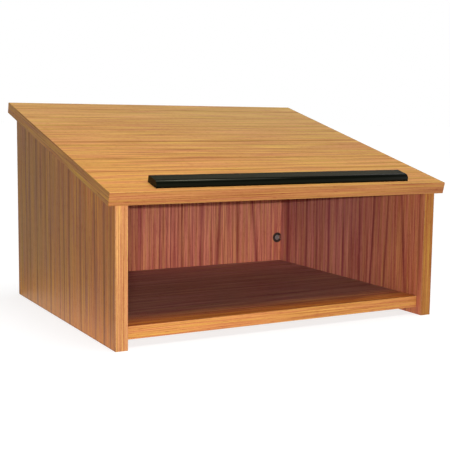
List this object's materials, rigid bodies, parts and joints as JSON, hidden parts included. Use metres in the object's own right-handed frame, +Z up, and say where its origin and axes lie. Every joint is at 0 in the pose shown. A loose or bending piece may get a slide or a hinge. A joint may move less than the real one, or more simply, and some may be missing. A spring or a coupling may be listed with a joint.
{
  "type": "slant top tabletop stand",
  "caption": "Tabletop stand with a sloping top and a stop that hold an open album, guest book or papers, over a shelf compartment that is open towards the reader.",
  "frame": {"origin": "bottom centre of the bounding box, on the table under the stand", "axes": "+X to the reader's right, +Y away from the reader and up the slope, +Z up"},
  "size_m": [0.603, 0.4968, 0.3532],
  "materials": {
    "top_board": "golden oak laminate, satin",
    "side_board": "golden oak laminate, vertical grain, satin",
    "back_board": "golden oak laminate, vertical grain, satin",
    "shelf_board": "golden oak laminate, satin",
    "edge_band": "oak edge band, satin",
    "black_plastic": "moulded black, satin gloss",
    "housing_plastic": "moulded, matte",
    "cast_zinc": "die-cast zinc",
    "plated_steel": "zinc plated",
    "beech": "unfinished"
  },
  "bodies": {
    "cabinet": {"left_side": "side_board", "right_side": "side_board", "back_panel": "back_board", "shelf": "shelf_board", "reading_top": "top_board", "left_front_band": "edge_band", "left_rear_band": "edge_band", "right_front_band": "edge_band", "right_rear_band": "edge_band", "shelf_band": "edge_band", "top_front_band": "edge_band", "top_rear_band": "edge_band", "top_left_band": "edge_band", "top_right_band": "edge_band", "stop": "black_plastic", "stop_screws": "plated_steel", "side_to_back_dowels": "beech", "side_to_shelf_dowels": "beech", "side_to_top_dowels": "beech", "shelf_to_back_dowels": "beech", "back_bolts": "plated_steel", "shelf_bolts": "plated_steel", "top_bolts": "plated_steel", "back_left_low_housing": "housing_plastic", "back_left_high_housing": "housing_plastic", "back_right_low_housing": "housing_plastic", "back_right_high_housing": "housing_plastic", "shelf_left_front_housing": "housing_plastic", "shelf_left_rear_housing": "housing_plastic", "shelf_right_front_housing": "housing_plastic", "shelf_right_rear_housing": "housing_plastic", "top_left_front_housing": "housing_plastic", "top_left_rear_housing": "housing_plastic", "top_right_front_housing": "housing_plastic", "top_right_rear_housing": "housing_plastic"},
    "back_left_low_cam": {"back_left_low_cam": "cast_zinc"},
    "back_left_high_cam": {"back_left_high_cam": "cast_zinc"},
    "back_right_low_cam": {"back_right_low_cam": "cast_zinc"},
    "back_right_high_cam": {"back_right_high_cam": "cast_zinc"},
    "shelf_left_front_cam": {"shelf_left_front_cam": "cast_zinc"},
    "shelf_left_rear_cam": {"shelf_left_rear_cam": "cast_zinc"},
    "shelf_right_front_cam": {"shelf_right_front_cam": "cast_zinc"},
    "shelf_right_rear_cam": {"shelf_right_rear_cam": "cast_zinc"},
    "top_left_front_cam": {"top_left_front_cam": "cast_zinc"},
    "top_left_rear_cam": {"top_left_rear_cam": "cast_zinc"},
    "top_right_front_cam": {"top_right_front_cam": "cast_zinc"},
    "top_right_rear_cam": {"top_right_rear_cam": "cast_zinc"}
  },
  "joints": [
    {"name": "back_left_low_turn", "type": "hinge", "parent": "cabinet", "child": "back_left_low_cam", "pos_m": [-0.26, 0.2125, 0.08], "axis": [0, -1, 0], "range_deg": [0, 180]},
    {"name": "back_left_high_turn", "type": "hinge", "parent": "cabinet", "child": "back_left_high_cam", "pos_m": [-0.26, 0.2125, 0.272], "axis": [0, -1, 0], "range_deg": [0, 180]},
    {"name": "back_right_low_turn", "type": "hinge", "parent": "cabinet", "child": "back_right_low_cam", "pos_m": [0.26, 0.2125, 0.08], "axis": [0, -1, 0], "range_deg": [0, 180]},
    {"name": "back_right_high_turn", "type": "hinge", "parent": "cabinet", "child": "back_right_high_cam", "pos_m": [0.26, 0.2125, 0.272], "axis": [0, -1, 0], "range_deg": [0, 180]},
    {"name": "shelf_left_front_turn", "type": "hinge", "parent": "cabinet", "child": "shelf_left_front_cam", "pos_m": [-0.26, -0.1735, 0.0125], "axis": [0, 0, -1], "range_deg": [0, 180]},
    {"name": "shelf_left_rear_turn", "type": "hinge", "parent": "cabinet", "child": "shelf_left_rear_cam", "pos_m": [-0.26, 0.1465, 0.0125], "axis": [0, 0, -1], "range_deg": [0, 180]},
    {"name": "shelf_right_front_turn", "type": "hinge", "parent": "cabinet", "child": "shelf_right_front_cam", "pos_m": [0.26, -0.1735, 0.0125], "axis": [0, 0, -1], "range_deg": [0, 180]},
    {"name": "shelf_right_rear_turn", "type": "hinge", "parent": "cabinet", "child": "shelf_right_rear_cam", "pos_m": [0.26, 0.1465, 0.0125], "axis": [0, 0, -1], "range_deg": [0, 180]},
    {"name": "top_left_front_turn", "type": "hinge", "parent": "cabinet", "child": "top_left_front_cam", "pos_m": [-0.2695, -0.17702, 0.21572], "axis": [1, 0, 0], "range_deg": [0, 180]},
    {"name": "top_left_rear_turn", "type": "hinge", "parent": "cabinet", "child": "top_left_rear_cam", "pos_m": [-0.2695, 0.16197, 0.30279], "axis": [1, 0, 0], "range_deg": [0, 180]},
    {"name": "top_right_front_turn", "type": "hinge", "parent": "cabinet", "child": "top_right_front_cam", "pos_m": [0.2695, -0.17702, 0.21572], "axis": [-1, 0, 0], "range_deg": [0, 180]},
    {"name": "top_right_rear_turn", "type": "hinge", "parent": "cabinet", "child": "top_right_rear_cam", "pos_m": [0.2695, 0.16197, 0.30279], "axis": [-1, 0, 0], "range_deg": [0, 180]}
  ]
}
